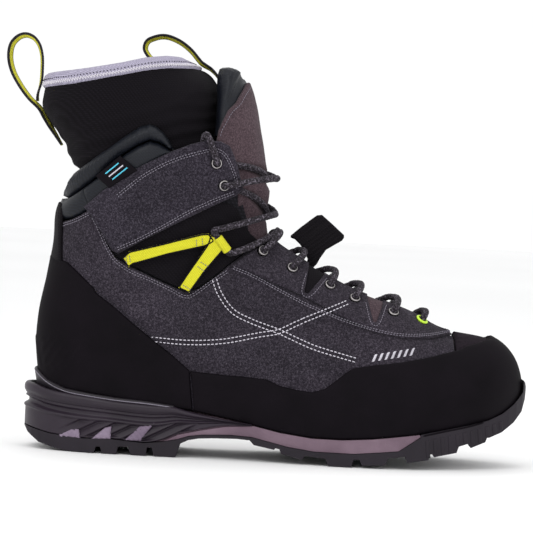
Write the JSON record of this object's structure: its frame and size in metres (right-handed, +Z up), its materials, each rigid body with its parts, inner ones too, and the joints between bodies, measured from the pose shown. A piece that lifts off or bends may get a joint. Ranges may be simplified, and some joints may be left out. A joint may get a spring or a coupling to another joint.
{
  "type": "mountaineering boot",
  "caption": "Laced right mountaineering boot with a rubber rand, lugged sole with heel frame, padded collar, stretch gaiter, folding tongue top and webbing pull loops.",
  "frame": {"origin": "on the ground under the middle of the boot's bounding box", "axes": "+X towards the toe, +Z up, the outer (lateral) side of this right boot faces -Y"},
  "size_m": [0.338, 0.1014, 0.2633],
  "materials": {
    "charcoal_suede": "matt nubuck",
    "taupe_suede": "matt suede",
    "black_rubber": "satin rubber",
    "tread_rubber": "matt rubber",
    "heel_tpu": "satin moulded",
    "grey_foam": "matt foam",
    "padded_synthetic": "soft satin",
    "black_stretch": "knit",
    "grey_binding": "bound tape",
    "yellow_webbing": "woven",
    "black_webbing": "ribbed woven",
    "dark_nickel": "dark plated",
    "lime_metal": "lacquered",
    "lace_cord": "braided",
    "lining_mesh": "mesh",
    "board_fibre": "fibre board",
    "aglet_plastic": "smooth"
  },
  "bodies": {
    "boot": {"outsole": "tread_rubber", "midsole": "grey_foam", "heel_frame": "heel_tpu", "heel_cup": "heel_tpu", "shank_plate": "board_fibre", "insole_board": "board_fibre", "lining_bootie": "lining_mesh", "heel_counter": "board_fibre", "toe_puff": "board_fibre", "quarter_lateral": "charcoal_suede", "quarter_medial": "charcoal_suede", "toe_vamp": "taupe_suede", "rand_heel": "black_rubber", "rand_front": "black_rubber", "eyestay_lateral": "charcoal_suede", "eyestay_medial": "charcoal_suede", "ankle_cuff_lateral": "charcoal_suede", "ankle_cuff_medial": "charcoal_suede", "back_stay": "charcoal_suede", "collar_pad": "padded_synthetic", "flex_panel_lateral": "black_stretch", "flex_panel_medial": "black_stretch", "tongue_lower": "taupe_suede", "stretch_gaiter": "black_stretch", "gaiter_binding": "grey_binding", "pull_loop_rear_tail": "yellow_webbing", "pull_loop_front_tail": "yellow_webbing", "lace_keeper_stem": "black_webbing", "lace_sling_lateral": "yellow_webbing", "lace_sling_medial": "yellow_webbing", "side_label": "black_webbing", "lace": "lace_cord", "aglet_lateral": "aglet_plastic", "aglet_medial": "aglet_plastic", "eyelet_lateral_1": "lime_metal", "eyelet_lateral_2": "dark_nickel", "eyelet_lateral_3": "dark_nickel", "eyelet_lateral_4": "dark_nickel", "eyelet_lateral_5": "dark_nickel", "eyelet_lateral_6": "dark_nickel", "eyelet_lateral_7": "dark_nickel", "eyelet_lateral_8": "dark_nickel", "eyelet_medial_1": "lime_metal", "eyelet_medial_2": "dark_nickel", "eyelet_medial_3": "dark_nickel", "eyelet_medial_4": "dark_nickel", "eyelet_medial_5": "dark_nickel", "eyelet_medial_6": "dark_nickel", "eyelet_medial_7": "dark_nickel", "eyelet_medial_8": "dark_nickel"},
    "footbed": {"footbed": "lining_mesh"},
    "tongue_top": {"tongue_upper": "taupe_suede", "tongue_pad": "padded_synthetic"},
    "rear_loop": {"pull_loop_rear": "yellow_webbing"},
    "front_loop": {"pull_loop_front": "yellow_webbing"},
    "keeper": {"lace_keeper": "black_webbing"}
  },
  "joints": [
    {"name": "footbed_lift", "type": "hinge", "parent": "boot", "child": "footbed", "pos_m": [0.15138, 0.00022, 0.03891], "axis": [0, 1, 0], "range_deg": [0, 8]},
    {"name": "tongue_fold", "type": "hinge", "parent": "boot", "child": "tongue_top", "pos_m": [-0.00215, 0.00022, 0.20076], "axis": [0, 1, 0], "range_deg": [0, 40], "stiffness_Nm_per_rad": 0.15},
    {"name": "rear_loop_swing", "type": "hinge", "parent": "boot", "child": "rear_loop", "pos_m": [-0.14791, 0.00022, 0.21417], "axis": [0, 1, 0], "range_deg": [-70, 0], "stiffness_Nm_per_rad": 0.02},
    {"name": "front_loop_swing", "type": "hinge", "parent": "boot", "child": "front_loop", "pos_m": [-0.04692, 0.00022, 0.24697], "axis": [0, 1, 0], "range_deg": [0, 35], "stiffness_Nm_per_rad": 0.02},
    {"name": "keeper_flop", "type": "hinge", "parent": "boot", "child": "keeper", "pos_m": [0.03024, 0.00022, 0.12721], "axis": [1, 0, 0], "range_deg": [-30, 8], "stiffness_Nm_per_rad": 0.02}
  ]
}
